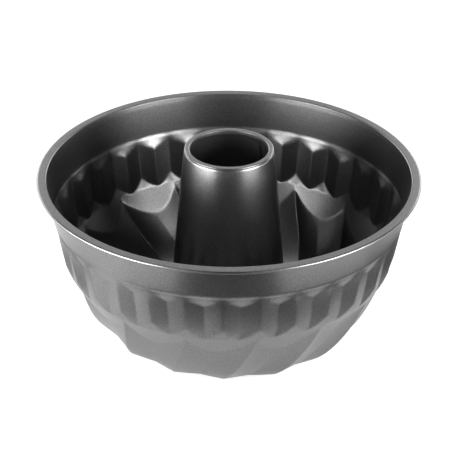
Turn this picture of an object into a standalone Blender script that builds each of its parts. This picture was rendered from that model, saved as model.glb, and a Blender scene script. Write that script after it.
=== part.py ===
"""Babka pan: a pressed sheet mould with a rolled rim, and a conical centre tube clinched into its base."""

import math

import bmesh
import bpy

# Overall sizes, in metres, with the table at height 0
RIM_RADIUS = 0.1200
RIM_HEIGHT = 0.1080
TUBE_HEIGHT = 0.1257
SHEET = 0.0006
SEAM_GAP = 0.0003

# Rolled rim
BAND_WIDTH = 0.0061
BEAD_HEIGHT = 0.0024
HEM_WIDTH = 0.0038
RIM_BEND = 0.0007

# Collar, and the short flutes below it
PETALS = 15
FLUTES_PER_PETAL = 2
COLLAR_DEPTH = 0.0240
COLLAR_DRAFT = math.radians(9.5)
FLUTE_DRAFT = math.radians(10.5)
FLUTE_CAP = 0.0077
FLUTE_DEPTH = 0.0019
CUSP_HEIGHT = 0.0578
RING_HEIGHT = 0.0507
RING_INSET = 0.0015

# Twisted petals, each with a sloping leaf at its head
LEAF_CORNER = 0.0030
LEAF_DROP = 0.0147
LEAF_DRAFT = math.radians(32)
PETAL_TWIST = math.radians(14)
TWIST_POWER = 1.7
RIDGE_POWER = 2.5
VALLEY_POWER = 2.08

# Resting ring and raised base
FOOT_RADIUS = 0.0600
FOOT_WIDTH = 0.0050
BASE_RISE = 0.0042
BASE_SLOPE = 0.0040

# Centre tube
TUBE_DRAFT = math.radians(4.8)
TUBE_FOOT_RADIUS = 0.0389
TUBE_BEAD = 0.0013
TUBE_FLANGE = 0.0038
SHOULDER_HEIGHT = 0.0050
SHOULDER_INSET = 0.00045
TOP_RING_STEP = 0.0010
TOP_RING_WIDTH = 0.0026
TOP_RING_BEND = 0.0004
TOP_LIP_DEPTH = 0.0030
TOP_LIP_BEND = 0.0005

# Mesh fineness
COLUMNS_PER_FLUTE = 4
PETAL_BANDS = 6
SHOULDER_BANDS = 3
TUBE_STEPS = 60

HALF_SHEET = SHEET / 2
COLUMNS_PER_PETAL = COLUMNS_PER_FLUTE * FLUTES_PER_PETAL
COLUMNS = COLUMNS_PER_PETAL * PETALS
PETAL_PITCH = 2 * math.pi / PETALS
FIRST_RIDGE = math.radians(-103.9)

WALL_TOP_RADIUS = RIM_RADIUS - BAND_WIDTH + HALF_SHEET
COLLAR_FOOT = RIM_HEIGHT - COLLAR_DEPTH


def clear_scene():
    for item in list(bpy.data.objects):
        bpy.data.objects.remove(item, do_unlink=True)


def make_collection(name):
    group = bpy.data.collections.new(name)
    bpy.context.scene.collection.children.link(group)
    return group


def coated_steel(name, shade, roughness):
    material = bpy.data.materials.new(name)
    material.use_nodes = True
    shader = material.node_tree.nodes["Principled BSDF"]
    shader.inputs["Base Color"].default_value = (shade, shade, shade * 1.01, 1)
    shader.inputs["Metallic"].default_value = 0.6
    shader.inputs["Roughness"].default_value = roughness
    return material


def arc(centre, radius, start, end, count):
    """Points (radius, height) on an arc, angles in degrees from the outward direction."""
    points = []
    for i in range(count + 1):
        angle = math.radians(start + (end - start) * i / count)
        across = centre[0] + radius * math.cos(angle)
        points.append((across, centre[1] + radius * math.sin(angle)))
    return points


# Mould shell: sections through the middle of the sheet, from the rim down


def wall_radius(height):
    """The plain cone of the collar, and the cone of the flute ridges below it."""
    above = max(height - COLLAR_FOOT, 0)
    below = min(height - COLLAR_FOOT, 0)
    collar_top = RIM_HEIGHT - COLLAR_FOOT
    foot = WALL_TOP_RADIUS - collar_top * math.tan(COLLAR_DRAFT)
    return foot + above * math.tan(COLLAR_DRAFT) + below * math.tan(FLUTE_DRAFT)


def twist(height):
    """How far the petals have turned at this height, nothing at the flute cusps."""
    drop = min(max(1 - height / CUSP_HEIGHT, 0), 1)
    return PETAL_TWIST * drop**TWIST_POWER


def rim_profile():
    """The hem under the rim, round its outer edge, across the band and down into the collar."""
    bend = (BEAD_HEIGHT - SHEET) / 2
    top = RIM_HEIGHT - HALF_SHEET
    outer = (RIM_RADIUS - HALF_SHEET - bend, top - bend)
    hem_end = (RIM_RADIUS - HEM_WIDTH, top - 2 * bend)
    inner = (wall_radius(top) + RIM_BEND, top - RIM_BEND)
    return [hem_end, *arc(outer, bend, -90, 90, 4), *arc(inner, RIM_BEND, 90, 180, 2)]


def flute_share(column):
    """0 on a flute ridge, 1 in the valley between two ridges."""
    half = COLUMNS_PER_FLUTE / 2
    return 1 - abs(column % COLUMNS_PER_FLUTE - half) / half


def petal_share(column):
    """0 on a petal ridge, 1 in the valley between two petals."""
    half = COLUMNS_PER_PETAL / 2
    return 1 - abs(column % COLUMNS_PER_PETAL - half) / half


def collar_foot(column):
    return wall_radius(COLLAR_FOOT), COLLAR_FOOT


def flute_point(column, height):
    """On a flank of a flute, which is straight from its ridge to its valley."""
    return wall_radius(height) - FLUTE_DEPTH * flute_share(column), height


def cap_edge(column):
    """The lower edge of the small slanting cap over each flute."""
    return flute_point(column, COLLAR_FOOT - FLUTE_CAP * flute_share(column))


def cusp_edge(column):
    """The lower end of the flutes, arched between one ridge's cusp and the next."""
    share = flute_share(column)
    height = RING_HEIGHT + (CUSP_HEIGHT - RING_HEIGHT) * (1 - share) ** 2
    if share == 1:
        return ring_edge(column)
    return flute_point(column, height)


def ring_edge(column):
    return wall_radius(RING_HEIGHT) - RING_INSET, RING_HEIGHT


def leaf_edge(column):
    """The lower edge of the sloping leaf at the head of each petal, a rounded V."""
    share = petal_share(column)
    drop = LEAF_CORNER + (LEAF_DROP - LEAF_CORNER) * (1 - (1 - share) ** 2)
    radius = ring_edge(column)[0] - drop * math.tan(LEAF_DRAFT)
    return radius + ridge_lift(share), RING_HEIGHT - drop


def ridge_lift(share):
    """The ridges stand a little proud of the leaf cone at its corners."""
    return 0.0004 * (1 - share) ** 2


def petal_point(column, down):
    """A point this share of the way down a petal, from its leaf edge to the resting ring."""
    radius, height = leaf_edge(column)
    share = petal_share(column)
    power = RIDGE_POWER + (VALLEY_POWER - RIDGE_POWER) * share
    left = 1 - down
    foot = FOOT_RADIUS
    return foot + (radius - foot) * left, HALF_SHEET + (height - HALF_SHEET) * left**power


def base_profile():
    """The flat resting ring, the slope up inside it, and the raised base with the tube hole."""
    inner = FOOT_RADIUS - FOOT_WIDTH
    raised = BASE_RISE + HALF_SHEET
    hole = tube_radius(raised) + HALF_SHEET + SEAM_GAP
    return [(inner, HALF_SHEET), (inner - BASE_SLOPE, raised), (hole, raised)]


def shell_sections():
    """Closed sections from the hem to the tube hole, each a list of (radius, height, twist)."""
    sections = []
    for radius, height in rim_profile():
        sections.append([(radius, height)] * COLUMNS)
    for edge in (collar_foot, cap_edge, cusp_edge, ring_edge, leaf_edge):
        sections.append([edge(column) for column in range(COLUMNS)])
    for band in range(1, PETAL_BANDS + 1):
        down = band / PETAL_BANDS
        sections.append([petal_point(column, down) for column in range(COLUMNS)])
    for radius, height in base_profile():
        sections.append([(radius, height)] * COLUMNS)
    return sections


def loft(name, sections):
    """One skin through the sections. Points that two sections share are merged."""
    mesh = bmesh.new()
    rings = []
    for section in sections:
        ring = []
        for column, (radius, height) in enumerate(section):
            angle = FIRST_RIDGE - PETAL_PITCH * column / COLUMNS_PER_PETAL - twist(height)
            x = radius * math.cos(angle)
            y = radius * math.sin(angle)
            ring.append(mesh.verts.new((x, y, height)))
        rings.append(ring)
    for upper, lower in zip(rings, rings[1:]):
        for i in range(COLUMNS):
            j = (i + 1) % COLUMNS
            mesh.faces.new((upper[i], upper[j], lower[j], lower[i]))
    bmesh.ops.remove_doubles(mesh, verts=mesh.verts, dist=SHEET / 100)
    bmesh.ops.recalc_face_normals(mesh, faces=mesh.faces)
    data = bpy.data.meshes.new(name)
    mesh.to_mesh(data)
    mesh.free()
    return bpy.data.objects.new(name, data)


# Centre tube: half of its section through the middle of the sheet


def tube_radius(height):
    return TUBE_FOOT_RADIUS - HALF_SHEET - height * math.tan(TUBE_DRAFT)


def tube_profile():
    """From the lip inside the top ring, over the ring and shoulder, down to the flange under the base."""
    top = TUBE_HEIGHT - HALF_SHEET
    ring_outer = tube_radius(TUBE_HEIGHT) - SHOULDER_INSET
    lip = ring_outer - TOP_RING_WIDTH
    lip_centre = (lip + TOP_LIP_BEND, top - TOP_LIP_BEND)
    outer_centre = (ring_outer - TOP_RING_BEND, top - TOP_RING_BEND)
    points = [(lip, top - TOP_LIP_DEPTH)]
    points += arc(lip_centre, TOP_LIP_BEND, 180, 90, 2)
    points += arc(outer_centre, TOP_RING_BEND, 90, 20, 2)
    for i in range(SHOULDER_BANDS + 1):
        up = 1 - i / SHOULDER_BANDS
        height = TUBE_HEIGHT - SHOULDER_HEIGHT + (SHOULDER_HEIGHT - TOP_RING_STEP) * up
        points.append((tube_radius(height) - SHOULDER_INSET * up**3, height))
    base_top = BASE_RISE + SHEET
    bead_low = base_top + SEAM_GAP + HALF_SHEET
    bead = (tube_radius(bead_low + TUBE_BEAD), bead_low + TUBE_BEAD)
    above = bead_low + 2 * TUBE_BEAD + SHEET
    points.append((tube_radius(above), above))
    points += arc(bead, TUBE_BEAD, 70, -80, 4)
    flange = BASE_RISE - SEAM_GAP - HALF_SHEET
    turn = SEAM_GAP + HALF_SHEET
    points.append((tube_radius(base_top), base_top))
    corner = (tube_radius(flange + turn) + turn, flange + turn)
    points += arc(corner, turn, 180, 270, 2)
    points.append((corner[0] + TUBE_FLANGE, flange))
    return points


def turned(name, profile, steps):
    """A surface of revolution made with the Screw modifier."""
    data = bpy.data.meshes.new(name)
    edges = [(i, i + 1) for i in range(len(profile) - 1)]
    data.from_pydata([(r, 0, h) for r, h in profile], edges, [])
    item = bpy.data.objects.new(name, data)
    screw = item.modifiers.new("Turn", "SCREW")
    screw.axis = "Z"
    screw.steps = steps
    screw.render_steps = steps
    screw.use_merge_vertices = True
    screw.merge_threshold = 0.00001
    screw.use_normal_calculate = True
    return item


def thicken(item):
    """Gives the surface the thickness of the sheet, half to each side."""
    solid = item.modifiers.new("Sheet", "SOLIDIFY")
    solid.thickness = SHEET
    solid.offset = 0
    solid.use_even_offset = True
    solid.use_quality_normals = True


def finish(item, group, material):
    group.objects.link(item)
    item.data.materials.append(material)
    bpy.ops.object.select_all(action="DESELECT")
    bpy.context.view_layer.objects.active = item
    item.select_set(True)
    bpy.ops.object.convert(target="MESH")
    bpy.ops.object.shade_smooth()
    item.data.set_sharp_from_angle(angle=math.radians(14))


clear_scene()
pan = make_collection("babka_pan")

shell = loft("mould_shell", shell_sections())
thicken(shell)
finish(shell, pan, coated_steel("shell_coated_steel", 0.10, 0.38))

tube = turned("centre_tube", tube_profile(), TUBE_STEPS)
thicken(tube)
finish(tube, pan, coated_steel("tube_coated_steel", 0.10, 0.34))
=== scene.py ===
# %% [markdown]
# # A babka pan in coated sheet steel
#
# The pan has two pieces. One is the mould: a single pressed sheet with a rolled
# rim, a plain collar, thirty short flutes and fifteen twisted petals. The other is
# the conical tube in the middle, clinched into a hole in the base. This lesson
# builds both as fine surfaces over the plain solids of the CAD model, gives them
# a dark non-stick finish, and lights them as in a small product studio.

import math

import bpy
import numpy as np
from mathutils import Matrix, Vector


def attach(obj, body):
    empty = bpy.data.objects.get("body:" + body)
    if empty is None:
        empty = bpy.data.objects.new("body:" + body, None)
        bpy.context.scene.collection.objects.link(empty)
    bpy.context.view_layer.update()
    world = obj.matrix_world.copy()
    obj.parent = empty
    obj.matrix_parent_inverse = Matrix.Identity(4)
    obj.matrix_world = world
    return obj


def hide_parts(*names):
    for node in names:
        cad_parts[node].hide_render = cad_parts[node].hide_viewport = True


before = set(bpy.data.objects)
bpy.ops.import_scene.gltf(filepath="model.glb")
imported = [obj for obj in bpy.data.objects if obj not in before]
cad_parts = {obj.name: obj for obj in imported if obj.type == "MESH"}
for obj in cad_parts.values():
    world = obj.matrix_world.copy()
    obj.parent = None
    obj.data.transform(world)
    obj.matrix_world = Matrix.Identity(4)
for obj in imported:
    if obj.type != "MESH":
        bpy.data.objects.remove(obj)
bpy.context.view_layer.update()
print("CAD nodes:", sorted(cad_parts))

# %% [markdown]
# ## The sheet and its overall sizes
#
# Everything below is worked out for the middle of the sheet, and the thickness is
# added last, half to each side. That is how a press toolmaker draws a thin pan,
# because a radius at mid-sheet stays right when the gauge changes. The sizes are
# those of the CAD model, in metres, with the table at height 0.

# %% Overall sizes
SHEET = 0.0006
HALF_SHEET = SHEET / 2
RIM_RADIUS = 0.1200
RIM_HEIGHT = 0.1080
PETALS = 15
PETAL_PITCH = 2 * math.pi / PETALS
FIRST_RIDGE = math.radians(-103.9)  # azimuth of a petal ridge near the camera
COLUMNS_PER_PETAL = 48
COLUMNS = PETALS * COLUMNS_PER_PETAL

across = np.arange(COLUMNS) / COLUMNS_PER_PETAL
print("mesh columns round the pan:", COLUMNS)

# %% [markdown]
# ## Ridges and valleys as one number
#
# A flute and a petal are both a fold: high on a ridge, low in the valley between
# two ridges. A triangle wave gives each column of the mesh its share of the way
# into the valley. Two flutes fit over each petal, so the flute wave runs at twice
# the pace.


# %% Fold shares
def fold_share(turns):
    """0 on each whole number, 1 half way between two, straight in between."""
    return 1 - np.abs(2 * (turns % 1) - 1)


flute_share = fold_share(2 * across)
petal_share = fold_share(across)
even_ring = np.ones(COLUMNS)
print("flute valleys:", int(np.sum(flute_share == 1)))

# %% [markdown]
# ## Collar and rolled rim
#
# The collar is a plain cone. At its top the sheet turns out into a flat band, rolls
# round its outer edge and comes back underneath, which stiffens the rim and hides
# the cut edge. It is drawn as one line of points from the hidden cut edge inwards,
# because a lathe profile is the clearest way to show a roll.

# %% Rim profile
BAND_WIDTH = 0.0061  # the flat top, from the collar to the outer edge
BEAD_HEIGHT = 0.0024  # the roll, from its top to its underside
HEM_WIDTH = 0.0038  # how far the cut edge comes back under the band
RIM_BEND = 0.0007
COLLAR_FOOT = RIM_HEIGHT - 0.0240
COLLAR_SLOPE = math.tan(math.radians(9.5))
FLUTE_SLOPE = math.tan(math.radians(10.5))
COLLAR_FOOT_RADIUS = (
    RIM_RADIUS - BAND_WIDTH + HALF_SHEET - (RIM_HEIGHT - COLLAR_FOOT) * COLLAR_SLOPE
)
HEM_STEPS = 3
ROLL_STEPS = 14
BAND_STEPS = 5
BEND_STEPS = 6


def wall_radius(height):
    """Radius of the collar's cone, or of the flute ridges' cone below it."""
    above = np.maximum(height - COLLAR_FOOT, 0)
    below = np.minimum(height - COLLAR_FOOT, 0)
    return COLLAR_FOOT_RADIUS + above * COLLAR_SLOPE + below * FLUTE_SLOPE


def arc(centre, radius, start, end, count):
    """Points on an arc, with angles in degrees from straight outwards."""
    points = []
    for angle in np.radians(np.linspace(start, end, count + 1)):
        out = centre[0] + radius * math.cos(angle)
        points.append((out, centre[1] + radius * math.sin(angle)))
    return points


def straight(start, end, count):
    """Points from start towards end, without the end itself."""
    steps = np.arange(count) / count
    start, end = np.array(start), np.array(end)
    return [tuple(start + (end - start) * step) for step in steps]


def rim_points():
    """Radius and height of each point, from the hidden cut edge to the collar."""
    bend = (BEAD_HEIGHT - SHEET) / 2
    top = RIM_HEIGHT - HALF_SHEET
    outer = (RIM_RADIUS - HALF_SHEET - bend, top - bend)
    inner = (float(wall_radius(top)) + RIM_BEND, top - RIM_BEND)
    cut_edge = (RIM_RADIUS - HEM_WIDTH, top - 2 * bend)
    roll = arc(outer, bend, -90, 90, ROLL_STEPS)
    turn = arc(inner, RIM_BEND, 90, 180, BEND_STEPS)
    hem = straight(cut_edge, roll[0], HEM_STEPS)
    band = straight(roll[-1], turn[0], BAND_STEPS)
    return hem + roll[:-1] + band + turn


rows = [(r * even_ring, z * even_ring) for r, z in rim_points()]
rim_rows = len(rows)
print("rows in the rim:", rim_rows)

# %% [markdown]
# ## Short flutes under a slanting cap
#
# Each flute starts under a small triangular cap where the press pushed the collar
# inwards, and runs down between two ridges to a rounded foot. For every point the
# height decides which face it is on: the cap where that stands further out than the
# flank, and the cusp's own slope below the flank's end. The corner between cap and
# flank is rounded here already, because a press can't make it sharp.

# %% Collar and flutes
FLUTE_CAP = 0.0077
FLUTE_DEPTH = 0.0019
CUSP_HEIGHT = 0.0578
RING_HEIGHT = 0.0507
RING_INSET = 0.0015
RING_RADIUS = float(wall_radius(RING_HEIGHT)) - RING_INSET
CAP_SOFTNESS = 0.0011
CAP_FADE = 1.3  # in cap heights: how far down the rounding is gone
LEAST_SOFTNESS = 0.05
COLLAR_ROWS = 14
FLUTE_ROWS = 45
TINY = 1e-6


def soft_min(one, other, softness):
    """The smaller of two, with the corner between them rounded off."""
    near = np.maximum(softness - np.abs(one - other), 0)
    return np.minimum(one, other) - near * near / (4 * softness)


def flute_radius(height):
    """Radius of every column at one height between the collar and the ring."""
    wall = float(wall_radius(height))
    flank = wall - FLUTE_DEPTH * flute_share
    cap_low = float(wall_radius(COLLAR_FOOT - FLUTE_CAP)) - FLUTE_DEPTH
    down = (COLLAR_FOOT - height) / FLUTE_CAP
    cap = COLLAR_FOOT_RADIUS + (cap_low - COLLAR_FOOT_RADIUS) * down
    softness = CAP_SOFTNESS * min(max(CAP_FADE - down, LEAST_SOFTNESS), 1)
    face = -soft_min(-flank, -cap, softness)
    face = soft_min(face, wall, softness)
    cusp = (CUSP_HEIGHT - RING_HEIGHT) * (1 - flute_share) ** 2
    cusp_top = wall_radius(RING_HEIGHT + cusp) - FLUTE_DEPTH * flute_share
    rise = np.clip((height - RING_HEIGHT) / np.maximum(cusp, TINY), 0, 1)
    slope = RING_RADIUS + (cusp_top - RING_RADIUS) * rise
    return np.where(height < RING_HEIGHT + cusp, slope, face)


collar_top = float(rows[-1][1][0])
for height in np.linspace(collar_top, COLLAR_FOOT, COLLAR_ROWS + 1)[1:]:
    rows.append((wall_radius(height) * even_ring, height * even_ring))
for height in np.linspace(COLLAR_FOOT, RING_HEIGHT, FLUTE_ROWS + 1)[1:]:
    rows.append((flute_radius(height), height * even_ring))
print("rows down to the ring below the flutes:", len(rows))

# %% [markdown]
# ## Leaves and twisted petals
#
# Below the flutes the wall steps inwards over a ring of leaf-shaped faces. From the
# leaf's rounded point a valley runs down between two ridges, and each ridge bends
# inwards and turns to one side on its way to the flat resting ring. Every column is
# one curve from the leaf's lower edge to that ring. A power of the way down makes
# it start steep and arrive flat, without a table of points.

# %% Petals
LEAF_CORNER = 0.0030
LEAF_DROP = 0.0147
LEAF_SLOPE = math.tan(math.radians(32))
RIDGE_LIFT = 0.0004
FOOT_RADIUS = 0.0600
RIDGE_POWER = 2.5
VALLEY_POWER = 2.08
LEAF_ROWS = 14
PETAL_ROWS = 44

nearness = (1 - petal_share) ** 2
leaf_drop = LEAF_CORNER + (LEAF_DROP - LEAF_CORNER) * (1 - nearness)
leaf_radius = RING_RADIUS - leaf_drop * LEAF_SLOPE + RIDGE_LIFT * nearness
leaf_height = RING_HEIGHT - leaf_drop
for part in np.arange(1, LEAF_ROWS + 1) / LEAF_ROWS:
    radius = RING_RADIUS + (leaf_radius - RING_RADIUS) * part
    rows.append((radius, RING_HEIGHT + (leaf_height - RING_HEIGHT) * part))

power = RIDGE_POWER + (VALLEY_POWER - RIDGE_POWER) * petal_share
for left in 1 - np.arange(1, PETAL_ROWS + 1) / PETAL_ROWS:
    radius = FOOT_RADIUS + (leaf_radius - FOOT_RADIUS) * left
    rows.append((radius, HALF_SHEET + (leaf_height - HALF_SHEET) * left**power))
print("rows down to the resting ring:", len(rows))

# %% [markdown]
# ## Resting ring and raised base
#
# The pan stands on a narrow flat ring. Inside it the base rises a few millimetres,
# so that the rolled end of the tube stays clear of the oven shelf, and ends in the
# hole that the tube is clinched into.

# %% Base
FOOT_WIDTH = 0.0050
BASE_RISE = 0.0042
BASE_SLOPE = 0.0040
SEAM_GAP = 0.0003
TUBE_FOOT_RADIUS = 0.0389
TUBE_SLOPE = math.tan(math.radians(4.8))
FOOT_STEPS = 5
SLOPE_STEPS = 6
BASE_STEPS = 9
SEAM_ROWS = 4  # the rows next to the hole, which stay as drawn


def tube_radius(height):
    """Middle of the tube's sheet."""
    return TUBE_FOOT_RADIUS - HALF_SHEET - height * TUBE_SLOPE


raised = BASE_RISE + HALF_SHEET
ring_inner = FOOT_RADIUS - FOOT_WIDTH
slope_end = (ring_inner - BASE_SLOPE, raised)
hole_edge = (tube_radius(raised) + HALF_SHEET + SEAM_GAP, raised)
base_line = straight((FOOT_RADIUS, HALF_SHEET), (ring_inner, HALF_SHEET), FOOT_STEPS)
base_line += straight((ring_inner, HALF_SHEET), slope_end, SLOPE_STEPS)
base_line += straight(slope_end, hole_edge, BASE_STEPS)
base_line.append(hole_edge)
for radius, height in base_line[1:]:
    rows.append((radius * even_ring, height * even_ring))
smooth_end = len(rows) - SEAM_ROWS
print("rows in all:", len(rows))

# %% [markdown]
# ## From rows to a sheet
#
# The rows are joined into one skin of four-sided faces. Each point is turned round
# the axis by the petals' twist at its height, so the petals lean over while the
# flutes above them stay upright.

# %% Shell skin
PETAL_TWIST = math.radians(14)
TWIST_POWER = 1.7


def twist(height):
    """How far a ridge has turned round the axis at a height."""
    drop = np.clip(1 - height / CUSP_HEIGHT, 0, 1)
    return PETAL_TWIST * drop**TWIST_POWER


def band_faces(rings, columns):
    """Faces between neighbouring rings of points, closed all the way round."""
    index = np.arange(rings * columns).reshape(rings, columns)
    following = np.roll(index, -1, axis=1)
    corners = (index[:-1], following[:-1], following[1:], index[1:])
    return np.stack(corners, axis=2).reshape(-1, 4).tolist()


def linked_object(name, data):
    """A new object of the scene, for a mesh, a lamp or a camera."""
    piece = bpy.data.objects.new(name, data)
    bpy.context.scene.collection.objects.link(piece)
    return piece


def skin_from_rows(name, rows):
    """A closed band of faces through rows of (radius, height) arrays."""
    radius = np.array([row[0] for row in rows])
    height = np.array([row[1] for row in rows])
    angle = FIRST_RIDGE - PETAL_PITCH * across - twist(height)
    places = np.stack([radius * np.cos(angle), radius * np.sin(angle), height], axis=2)
    mesh = bpy.data.meshes.new(name)
    faces = band_faces(len(rows), COLUMNS)
    mesh.from_pydata(places.reshape(-1, 3).tolist(), [], faces)
    return linked_object(name, mesh)


shell = skin_from_rows("pressed_shell", rows)
print("shell skin:", len(shell.data.vertices), "points")

# %% [markdown]
# The folds of the skin are knife sharp, which no press can make. A Smooth modifier
# moves each point towards its neighbours and rounds them to about a millimetre. It
# works on a vertex group, so that it leaves the rim and the edge of the hole alone.
# Solidify then gives the skin the gauge of the sheet.

# %% Press radius and thickness
SMOOTH_SHARE = 0.5
SMOOTH_PASSES = 2
KEPT_ROWS = 2  # rows of the collar that stay as drawn, under the rim


def add_sheet(piece):
    """Gives a skin the thickness of the sheet, half to each side."""
    solid = piece.modifiers.new("Sheet thickness", "SOLIDIFY")
    solid.thickness = SHEET
    solid.offset = 0
    solid.use_even_offset = True
    solid.use_quality_normals = True


pressed = shell.vertex_groups.new(name="pressed")
first = (rim_rows + KEPT_ROWS) * COLUMNS
last = smooth_end * COLUMNS
pressed.add(list(range(first, last)), 1, "REPLACE")
smooth = shell.modifiers.new("Press radius", "SMOOTH")
smooth.factor = SMOOTH_SHARE
smooth.iterations = SMOOTH_PASSES
smooth.vertex_group = pressed.name
add_sheet(shell)
shell.data.shade_smooth()
print("rounded rows:", (last - first) // COLUMNS, "of", len(rows))

# %% [markdown]
# ## The centre tube
#
# The tube is a plain cone of the same sheet, and it is all one lathe profile. Its
# top narrows over a gentle shoulder to a flat ring, and turns down inside to hide
# the cut edge. That is the first part of the profile.

# %% Top of the tube
TUBE_HEIGHT = 0.1257
SHOULDER_HEIGHT = 0.0220
SHOULDER_INSET = 0.0006
SHOULDER_POWER = 2
TOP_RING_STEP = 0.0010
TOP_RING_WIDTH = 0.0026
TOP_RING_BEND = 0.0004
TOP_RING_GROOVE = 0.00002
TOP_LIP_BEND = 0.0005
TOP_LIP_DEPTH = 0.0030
LIP_STEPS = 3
LIP_BEND_STEPS = 6
RING_BEND_STEPS = 7
SHOULDER_STEPS = 14

shoulder_low = TUBE_HEIGHT - SHOULDER_HEIGHT


def tube_top_points():
    """Radius and height of each point, from the lip inside to the shoulder's foot."""
    top = TUBE_HEIGHT - HALF_SHEET
    ring_outer = tube_radius(TUBE_HEIGHT) - SHOULDER_INSET
    lip = ring_outer - TOP_RING_WIDTH
    lip_top = (lip, top - TOP_LIP_BEND)
    lip_centre = (lip + TOP_LIP_BEND, top - TOP_LIP_BEND)
    outer_centre = (ring_outer - TOP_RING_BEND, top - TOP_RING_BEND)
    points = straight((lip, top - TOP_LIP_DEPTH), lip_top, LIP_STEPS)
    points += arc(lip_centre, TOP_LIP_BEND, 180, 90, LIP_BEND_STEPS)
    points += arc(outer_centre, TOP_RING_BEND, 90, -20, RING_BEND_STEPS)
    step = TUBE_HEIGHT - TOP_RING_STEP
    points.append((ring_outer - TOP_RING_GROOVE, step + TOP_RING_GROOVE))
    for up in np.linspace(1, 0, SHOULDER_STEPS + 1):
        height = shoulder_low + (step - shoulder_low) * up
        inset = SHOULDER_INSET * up**SHOULDER_POWER
        points.append((tube_radius(height) - inset, height))
    return points


top_points = tube_top_points()
print("points in the top of the tube:", len(top_points))

# %% [markdown]
# From the shoulder the plain cone runs down to the base. There a bead sits on the
# base and a flange is pressed out below it, with the edge of the hole held between
# them. That is how a tube is clinched into a thin base without screw or solder.

# %% Foot of the tube
TUBE_BEAD = 0.0013
TUBE_FLANGE = 0.0038
WALL_STEPS = 24
TUBE_BEAD_STEPS = 12
FLANGE_BEND_STEPS = 5


def tube_foot_points(top):
    """The cone down from this height, the bead on the base and the flange."""
    base_top = BASE_RISE + SHEET
    bead_low = base_top + SEAM_GAP + HALF_SHEET
    bead_middle = bead_low + TUBE_BEAD
    above = bead_low + 2 * TUBE_BEAD + SHEET
    wall_end = (tube_radius(above), above)
    points = straight((tube_radius(top), top), wall_end, WALL_STEPS)[1:] + [wall_end]
    bead_centre = (tube_radius(bead_middle), bead_middle)
    points += arc(bead_centre, TUBE_BEAD, 70, -80, TUBE_BEAD_STEPS)
    points.append((tube_radius(base_top), base_top))
    flange = BASE_RISE - SEAM_GAP - HALF_SHEET
    turn = SEAM_GAP + HALF_SHEET
    centre = (tube_radius(flange + turn) + turn, flange + turn)
    points += arc(centre, turn, 180, 270, FLANGE_BEND_STEPS)
    points.append((centre[0] + TUBE_FLANGE, flange))
    return points


foot_points = tube_foot_points(shoulder_low)
print("points in the foot of the tube:", len(foot_points))

# %% [markdown]
# The tube is rolled from a flat blank, so one weld runs up its side. It shows as a
# shallow groove inside and a low ridge outside. The columns of the mesh stand
# closer together there, and the groove fades out before the clinched foot and the
# turned-in top, which are pressed after the welding. Each point also keeps how deep
# in the groove it lies, so that the finish can follow it.

# %% Tube mesh
TUBE_STEPS = 240
WELD_AZIMUTH = math.radians(46)
WELD_WIDTH = 0.0016
WELD_DEPTH = 0.0003
WELD_LOW = 0.014
WELD_HIGH = 0.121
WELD_FADE = 0.006
WELD_REACH = 0.09  # radians to each side with closer columns
WELD_COLUMNS = 31


def tube_columns():
    """Angles of the mesh columns, with extra ones across the weld."""
    even = np.linspace(-math.pi, math.pi, TUBE_STEPS, endpoint=False)
    plain = even[np.abs(even - WELD_AZIMUTH) > WELD_REACH]
    fine = WELD_AZIMUTH + np.linspace(-WELD_REACH, WELD_REACH, WELD_COLUMNS)
    return np.sort(np.concatenate([plain, fine]))


def weld_dent(angle, radius, height):
    """How far the groove pushes the sheet outwards at a place."""
    away = (angle - WELD_AZIMUTH) * radius / (WELD_WIDTH / 2)
    ends = min(height - WELD_LOW, WELD_HIGH - height) / WELD_FADE
    return WELD_DEPTH * min(max(ends, 0), 1) * np.exp(-away * away)


def turned(name, points):
    """A surface of revolution from one line of points, with the weld's groove."""
    angle = tube_columns()
    places = []
    dents = []
    for radius, height in points:
        dent = weld_dent(angle, radius, height)
        dents.append(dent / WELD_DEPTH)
        out = radius + dent
        ring = (out * np.cos(angle), out * np.sin(angle), np.full(len(angle), height))
        places.append(np.stack(ring, axis=1))
    mesh = bpy.data.meshes.new(name)
    faces = band_faces(len(points), len(angle))
    mesh.from_pydata(np.concatenate(places).tolist(), [], faces)
    mesh.shade_smooth()
    weld = mesh.attributes.new("weld", "FLOAT", "POINT")
    weld.data.foreach_set("value", np.concatenate(dents))
    return linked_object(name, mesh)


tube = turned("coned_tube", top_points + foot_points)
add_sheet(tube)
print("tube skin:", len(tube.data.vertices), "points")

# %% [markdown]
# ## Dark non-stick finish
#
# The coating is a thin dark film over bright steel. It mirrors the room softly, and
# its fine orange peel breaks the highlights into grain. A metallic shader with a
# dark colour gives the mirror. A fine noise in the colour gives the grain, because
# bumps so small would only blur the mirror. A wider noise in the roughness and in a
# weak bump gives the faint clouding of a baked coat.

# %% Coated steel
COAT_SHADE = 0.17
COAT_ROUGHNESS = 0.30
ROUGHNESS_SPREAD = 0.02
TUBE_SHADE = 0.20
TUBE_ROUGHNESS = 0.30
PEEL_SCALE = 1300
PEEL_DETAIL = 1
PEEL_CONTRAST = 0.18
PEEL_LOW = 0.3
PEEL_HIGH = 0.7
CLOUD_SCALE = 90
CLOUD_DETAIL = 3
WAVE_STRENGTH = 0.10
WAVE_DEPTH = 0.0004
# In vector mode a Map Range node uses its second set of sockets, of the same names.
VALUE, FROM_LOW, FROM_HIGH, TO_LOW, TO_HIGH = range(6, 11)


def grey(value):
    """The same value for red, green and blue."""
    return (value, value, value)


def noise(nodes, link, place, scale, detail):
    """A noise over the object's own coordinates, from 0 to 1."""
    texture = nodes.new("ShaderNodeTexNoise")
    texture.inputs["Scale"].default_value = scale
    texture.inputs["Detail"].default_value = detail
    link(place.outputs["Object"], texture.inputs["Vector"])
    return texture.outputs["Fac"]


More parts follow.
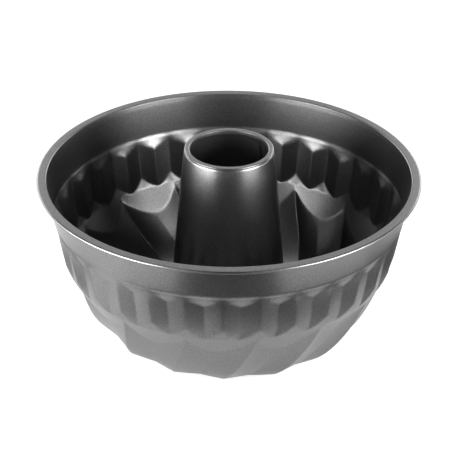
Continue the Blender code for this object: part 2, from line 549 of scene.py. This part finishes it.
def coated_steel(name, shade, roughness):
    """Dark mirror with a grain in its colour and clouds in its gloss."""
    material = bpy.data.materials.new(name)
    material.use_nodes = True
    nodes = material.node_tree.nodes
    link = material.node_tree.links.new
    shader = nodes["Principled BSDF"]
    shader.inputs["Metallic"].default_value = 1.0
    place = nodes.new("ShaderNodeTexCoord")

    cloud = noise(nodes, link, place, CLOUD_SCALE, CLOUD_DETAIL)
    rough = nodes.new("ShaderNodeMapRange")
    rough.inputs["To Min"].default_value = roughness - ROUGHNESS_SPREAD
    rough.inputs["To Max"].default_value = roughness + ROUGHNESS_SPREAD
    link(cloud, rough.inputs["Value"])
    link(rough.outputs["Result"], shader.inputs["Roughness"])

    peel = noise(nodes, link, place, PEEL_SCALE, PEEL_DETAIL)
    tone = nodes.new("ShaderNodeMapRange")
    tone.data_type = "FLOAT_VECTOR"
    tone.inputs[FROM_LOW].default_value = grey(PEEL_LOW)
    tone.inputs[FROM_HIGH].default_value = grey(PEEL_HIGH)
    tone.inputs[TO_LOW].default_value = grey(shade * (1 - PEEL_CONTRAST))
    tone.inputs[TO_HIGH].default_value = grey(shade * (1 + PEEL_CONTRAST))
    link(peel, tone.inputs[VALUE])
    link(tone.outputs["Vector"], shader.inputs["Base Color"])

    bump = nodes.new("ShaderNodeBump")
    bump.inputs["Strength"].default_value = WAVE_STRENGTH
    bump.inputs["Distance"].default_value = WAVE_DEPTH
    link(cloud, bump.inputs["Height"])
    link(bump.outputs["Normal"], shader.inputs["Normal"])
    return material


shell_coat = coated_steel("shell_coat", COAT_SHADE, COAT_ROUGHNESS)
tube_coat = coated_steel("tube_coat", TUBE_SHADE, TUBE_ROUGHNESS)
shell.data.materials.append(shell_coat)
tube.data.materials.append(tube_coat)
print("finishes:", shell_coat.name, tube_coat.name)

# %% [markdown]
# Little of the sprayed coat reaches the inside of a narrow tube, and it dries matt
# there. One material can do both sides: the dot product of a place's way out from
# the axis and its normal is negative where the face looks at the axis, and two Map
# Range nodes turn that into the matt roughness and a little less metal.

# %% Matt inside of the tube
INSIDE_ROUGHNESS = 0.45
INSIDE_METAL = 0.95
INSIDE_FACING = -0.020  # the dot product at and below which a face is inside
OUTSIDE_FACING = -0.010  # and from which it is outside


def facing_axis(nodes, link):
    """Negative on faces that look at the tube's axis, positive on its outside."""
    place = nodes.new("ShaderNodeTexCoord")
    outwards = nodes.new("ShaderNodeVectorMath")
    outwards.operation = "MULTIPLY"
    outwards.inputs[1].default_value = (1, 1, 0)
    link(place.outputs["Object"], outwards.inputs[0])
    facing = nodes.new("ShaderNodeVectorMath")
    facing.operation = "DOT_PRODUCT"
    link(outwards.outputs["Vector"], facing.inputs[0])
    link(place.outputs["Normal"], facing.inputs[1])
    return facing.outputs["Value"]


def by_side(material, inside):
    """A Map Range node that gives this value inside the tube, its To Max outside."""
    nodes = material.node_tree.nodes
    link = material.node_tree.links.new
    side = nodes.new("ShaderNodeMapRange")
    side.inputs["From Min"].default_value = INSIDE_FACING
    side.inputs["From Max"].default_value = OUTSIDE_FACING
    side.inputs["To Min"].default_value = inside
    link(facing_axis(nodes, link), side.inputs["Value"])
    return side


def dull_inside(material):
    """Makes the faces that look at the axis matt."""
    link = material.node_tree.links.new
    shader = material.node_tree.nodes["Principled BSDF"]
    metal = shader.inputs["Metallic"]
    rough = shader.inputs["Roughness"]
    metal_side = by_side(material, INSIDE_METAL)
    metal_side.inputs["To Max"].default_value = metal.default_value
    link(metal_side.outputs["Result"], metal)
    rough_side = by_side(material, INSIDE_ROUGHNESS)
    link(rough.links[0].from_socket, rough_side.inputs["To Max"])
    link(rough_side.outputs["Result"], rough)


dull_inside(tube_coat)
print("roughness inside the tube:", INSIDE_ROUGHNESS)

# %% [markdown]
# Along the weld the colour is scaled down by the depth that the mesh stored at each
# point, so the groove inside the tube shows as a dark line. Outside, where the weld
# is a ridge, nearly all of the colour is kept.

# %% Dark weld
WELD_KEEP_INSIDE = 0.1
WELD_KEEP_OUTSIDE = 0.8


def darken_weld(material):
    """Scales the colour by the depth in the weld's groove."""
    nodes = material.node_tree.nodes
    link = material.node_tree.links.new
    shader = nodes["Principled BSDF"]
    groove = nodes.new("ShaderNodeAttribute")
    groove.attribute_name = "weld"
    side = by_side(material, WELD_KEEP_INSIDE)
    side.inputs["To Max"].default_value = WELD_KEEP_OUTSIDE
    keep = nodes.new("ShaderNodeMapRange")
    keep.inputs["To Min"].default_value = 1
    link(groove.outputs["Fac"], keep.inputs["Value"])
    link(side.outputs["Result"], keep.inputs["To Max"])
    tint = nodes.new("ShaderNodeVectorMath")
    tint.operation = "SCALE"
    link(shader.inputs["Base Color"].links[0].from_socket, tint.inputs[0])
    link(keep.outputs["Result"], tint.inputs["Scale"])
    link(tint.outputs["Vector"], shader.inputs["Base Color"])


darken_weld(tube_coat)
print("colour kept in the groove:", WELD_KEEP_INSIDE)

# %% [markdown]
# Nothing on this pan moves, so both pieces ride on the one rigid body. Each takes
# the place of its plain CAD solid.

# %% Pieces on the CAD model
for piece, node, slot in (
    (shell, "mould_shell", "shell_coated_steel"),
    (tube, "centre_tube", "tube_coated_steel"),
):
    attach(piece, "root")
    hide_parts(node)
print("finished pieces:", shell.name, tube.name)

# %% [markdown]
# ## Camera
#
# A long lens far away keeps the round rim calm, as in catalogue pictures. It looks
# down at a little under thirty degrees, which shows the inside and the outside of
# the pan at once. The distance and the aim are written in rim radii, because they
# were measured on the ellipses of the rim's outer edge, at the height where the
# roll is widest.

# %% Camera
CAMERA_DISTANCE = 10.349 * RIM_RADIUS
CAMERA_TILT = 0.51574
CAMERA_ROLL = 0.004404
LENS = 156.6
FILM_WIDTH = 36
EDGE_HEIGHT = 0.1062
AIM_SIDE = -0.0192 * RIM_RADIUS
AIM_HEIGHT = EDGE_HEIGHT - 0.2960 * RIM_RADIUS

camera_data = bpy.data.cameras.new("product_camera")
camera_data.lens = LENS
camera_data.sensor_width = FILM_WIDTH
camera = linked_object("product_camera", camera_data)
bpy.context.scene.camera = camera
back = Vector((0, -math.cos(CAMERA_TILT), math.sin(CAMERA_TILT)))
stand = Matrix.Translation(Vector((AIM_SIDE, 0, AIM_HEIGHT)) + back * CAMERA_DISTANCE)
tilt = Matrix.Rotation(math.pi / 2 - CAMERA_TILT, 4, "X")
roll = Matrix.Rotation(CAMERA_ROLL, 4, "Z")
camera.matrix_world = stand @ tilt @ roll
print("camera height:", round(camera.matrix_world.translation.z, 3))

# %% [markdown]
# ## Studio
#
# The pan stands on a table of white paper in a white room. One helper cuts every
# flat sheet of the studio, because the table, the cards and the screens are all
# rectangles of dull material that differ only in size and shade.

# %% Flat sheets
TABLE_SIZE = 6.0
PAPER_SHADE = 0.38
SHEET_ROUGHNESS = 0.9
SHEET_GLOSS = 0.1


def flat_sheet(name, width, depth, shade):
    """A flat rectangle of the studio's, lying at the origin."""
    mesh = bpy.data.meshes.new(name)
    x, y = width / 2, depth / 2
    corners = [(-x, -y, 0), (x, -y, 0), (x, y, 0), (-x, y, 0)]
    mesh.from_pydata(corners, [], [(0, 1, 2, 3)])
    piece = linked_object(name, mesh)
    cover = bpy.data.materials.new(name)
    cover.use_nodes = True
    shader = cover.node_tree.nodes["Principled BSDF"]
    shader.inputs["Base Color"].default_value = (*grey(shade), 1)
    shader.inputs["Roughness"].default_value = SHEET_ROUGHNESS
    shader.inputs["Specular IOR Level"].default_value = SHEET_GLOSS
    mesh.materials.append(cover)
    return piece


table = flat_sheet("white_paper_table", TABLE_SIZE, TABLE_SIZE, PAPER_SHADE)
print("table", TABLE_SIZE, "m across")

# %% [markdown]
# The camera sees the background as plain white, and so do reflections in the steel.
# Table and room are made white for the rays that the camera and the steel look
# along, and stay plain for the light that they throw on the pan. The paper keeps
# its own shading under that, so the pan has a soft shadow at its foot.

# %% Table and room
PAPER_LIFT = 0.70
ROOM_GLOW = 0.8
WHITE = (1, 1, 1, 1)


def looking_rays(nodes, link):
    """1 on the rays that see the background, straight or through steel or glass."""
    path = nodes.new("ShaderNodeLightPath")
    seen = path.outputs["Is Camera Ray"]
    for kind in ("Is Glossy Ray", "Is Transmission Ray"):
        either = nodes.new("ShaderNodeMath")
        either.operation = "MAXIMUM"
        link(seen, either.inputs[0])
        link(path.outputs[kind], either.inputs[1])
        seen = either.outputs["Value"]
    return seen


def strength_by_ray(tree, low, high, target):
    """Sets a strength: low for the light thrown about, high for what is seen."""
    scale = tree.nodes.new("ShaderNodeMapRange")
    scale.inputs["To Min"].default_value = low
    scale.inputs["To Max"].default_value = high
    tree.links.new(looking_rays(tree.nodes, tree.links.new), scale.inputs["Value"])
    tree.links.new(scale.outputs["Result"], target)


paper = table.data.materials[0].node_tree
paper_shader = paper.nodes["Principled BSDF"]
paper_shader.inputs["Emission Color"].default_value = WHITE
strength_by_ray(paper, 0, PAPER_LIFT, paper_shader.inputs["Emission Strength"])

world = bpy.data.worlds.new("white_room")
bpy.context.scene.world = world
world.use_nodes = True
room = world.node_tree.nodes["Background"]
room.inputs["Color"].default_value = WHITE
strength_by_ray(world.node_tree, ROOM_GLOW, 1.0, room.inputs["Strength"])
bpy.context.scene.view_settings.view_transform = "Standard"
print("room glow on the pan:", ROOM_GLOW)

# %% [markdown]
# ## Softboxes
#
# Bare coated steel has hardly a colour of its own: it shows what stands round it.
# Two groups of softboxes stand low on the table, left and right of the camera. Each
# group is a bright box with a dimmer one over or under it, a high box that the leaf
# faces inside the pan catch, and a dim wing behind them. Two wide dim boxes stand
# far behind the pan and draw the thin bright line along the inner edge of the rim.
# The azimuths are seen from above, with the camera at -90 degrees.

# %% Softboxes
SIDE_DISTANCE = 0.48
BACK_DISTANCE = 0.90
LOW_EDGE = 0.01
STEP_EDGE = 0.08
MIDDLE_EDGE = 0.15
TOP_EDGE = 0.24
HIGH_EDGE = 0.32
HIGH_WIDTH = 0.36
RIGHT_WIDTH = 0.32
WING_WIDTH = 0.30
BACK_WIDTH = 0.84
BACK_LOW = 0.19
BACK_TOP = 0.47
BACK_GLOW = 4.5
# name, azimuth in degrees, width, lower and upper edge, glow
side_boxes = (
    ("left_softbox", -153, 0.49, LOW_EDGE, MIDDLE_EDGE, 20.0),
    ("left_top_softbox", -144, 0.34, MIDDLE_EDGE, TOP_EDGE, 10.5),
    ("left_high_softbox", -147, HIGH_WIDTH, TOP_EDGE, HIGH_EDGE, 9.0),
    ("left_wing", 163, WING_WIDTH, LOW_EDGE, MIDDLE_EDGE, 3.0),
    ("right_low_softbox", -37, RIGHT_WIDTH, LOW_EDGE, STEP_EDGE, 7.0),
    ("right_softbox", -37, RIGHT_WIDTH, STEP_EDGE, TOP_EDGE, 14.5),
    ("right_high_softbox", -36, HIGH_WIDTH, TOP_EDGE, HIGH_EDGE, 13.0),
    ("right_wing", -2, WING_WIDTH, STEP_EDGE, MIDDLE_EDGE, 4.0),
)
back_boxes = (
    ("back_right_softbox", 50, BACK_WIDTH, BACK_LOW, BACK_TOP, BACK_GLOW),
    ("back_left_softbox", 130, BACK_WIDTH, BACK_LOW, BACK_TOP, BACK_GLOW),
)


def face_axis(piece, azimuth, distance, height):
    """Stands a piece at an azimuth round the pan, turned to the axis."""
    angle = math.radians(azimuth)
    out = Vector((math.cos(angle), math.sin(angle), 0))
    piece.location = out * distance
    piece.location.z = height
    piece.rotation_euler = out.to_track_quat("Z", "Y").to_euler()


def add_softbox(distance, name, azimuth, width, low, high, glow):
    """A standing area lamp that faces the pan, with its glow as radiance."""
    lamp = bpy.data.lights.new(name, "AREA")
    lamp.shape = "RECTANGLE"
    lamp.size = width
    lamp.size_y = high - low
    lamp.energy = glow * math.pi * lamp.size * lamp.size_y
    box = linked_object(name, lamp)
    face_axis(box, azimuth, distance, (low + high) / 2)
    box.visible_camera = False
    print(name, "power", round(lamp.energy, 2), "W")


for side_box in side_boxes:
    add_softbox(SIDE_DISTANCE, *side_box)
for back_box in back_boxes:
    add_softbox(BACK_DISTANCE, *back_box)

# %% [markdown]
# ## Cards and screens
#
# Dark card is as useful here as light. A grey mat under the pan keeps the petals from
# going white. Arcs of darker card round the mat draw the collar and the flutes, and a
# long dark card in front of the pan makes the middle of the collar dark between two
# bright sides. Each lies a hair above the last, so that none share a height.

# %% Cards on the table
MAT_RADIUS = 0.145
MAT_HUB = 0.001
MAT_SHADE = 0.70
FRONT_OUTER = 0.182
BACK_LEFT_OUTER = 0.170
BACK_RIGHT_OUTER = 0.190
CARD_WIDTH = 0.165
CARD_DEPTH = 0.60
CARD_START = -0.145
CARD_SHADE = 0.07
CARD_HEIGHT = 0.0005
CARD_THICKNESS = 0.0002
ARC_STEPS = 36
# name, inner and outer radius, first and last angle in degrees, shade
arcs = (
    ("grey_mat", MAT_HUB, MAT_RADIUS, 0, 360, MAT_SHADE),
    ("right_arc", MAT_RADIUS, FRONT_OUTER, -80, -12, 0.03),
    ("left_arc", MAT_RADIUS, FRONT_OUTER, -128, -110, 0.12),
    ("far_left_arc", MAT_RADIUS, FRONT_OUTER, -143, -128, 0.32),
    ("back_left_arc", MAT_RADIUS, BACK_LEFT_OUTER, 145, 195, 0.24),
    ("back_right_arc", MAT_RADIUS, BACK_RIGHT_OUTER, -12, 36, 0.05),
)


def arc_sheet(name, inner, outer, start, end, shade):
    """A flat piece of card cut as an arc round the pan, with angles in degrees."""
    piece = flat_sheet(name, 1, 1, shade)
    angles = np.radians(np.linspace(start, end, ARC_STEPS + 1))
    points = [(inner * math.cos(a), inner * math.sin(a), 0) for a in angles]
    points += [(outer * math.cos(a), outer * math.sin(a), 0) for a in angles]
    row = ARC_STEPS + 1
    faces = [(i, i + row, i + row + 1, i + 1) for i in range(ARC_STEPS)]
    piece.data.clear_geometry()
    piece.data.from_pydata(points, [], faces)
    return piece


cards = [arc_sheet(*one) for one in arcs]
cards.append(flat_sheet("black_card", CARD_WIDTH, CARD_DEPTH, CARD_SHADE))
for level, card in enumerate(cards):
    card.location.z = CARD_HEIGHT + CARD_THICKNESS * level
cards[-1].location.y = CARD_START - CARD_DEPTH / 2
print("cards:", [card.name for card in cards])

# %% [markdown]
# Black screens close the room at the front and at the sides, so that the collar and
# the tube keep dark parts between their highlights. Cards and screens are there for
# the steel alone: the camera doesn't see them, and they don't darken the paper.

# %% Black screens
SCREEN_WIDTH = 3.0
SCREEN_HEIGHT = 2.4
SCREEN_DISTANCE = 1.5
SCREEN_SHADE = 0.01

screens = []
for name, azimuth in (("front_screen", -90), ("left_screen", 180), ("right_screen", 0)):
    screen = flat_sheet(name, SCREEN_WIDTH, SCREEN_HEIGHT, SCREEN_SHADE)
    face_axis(screen, azimuth, SCREEN_DISTANCE, SCREEN_HEIGHT / 2)
    screens.append(screen)
for dark in cards + screens:
    dark.visible_camera = False
    dark.visible_shadow = False
    dark.visible_diffuse = False
print("screens:", [screen.name for screen in screens])
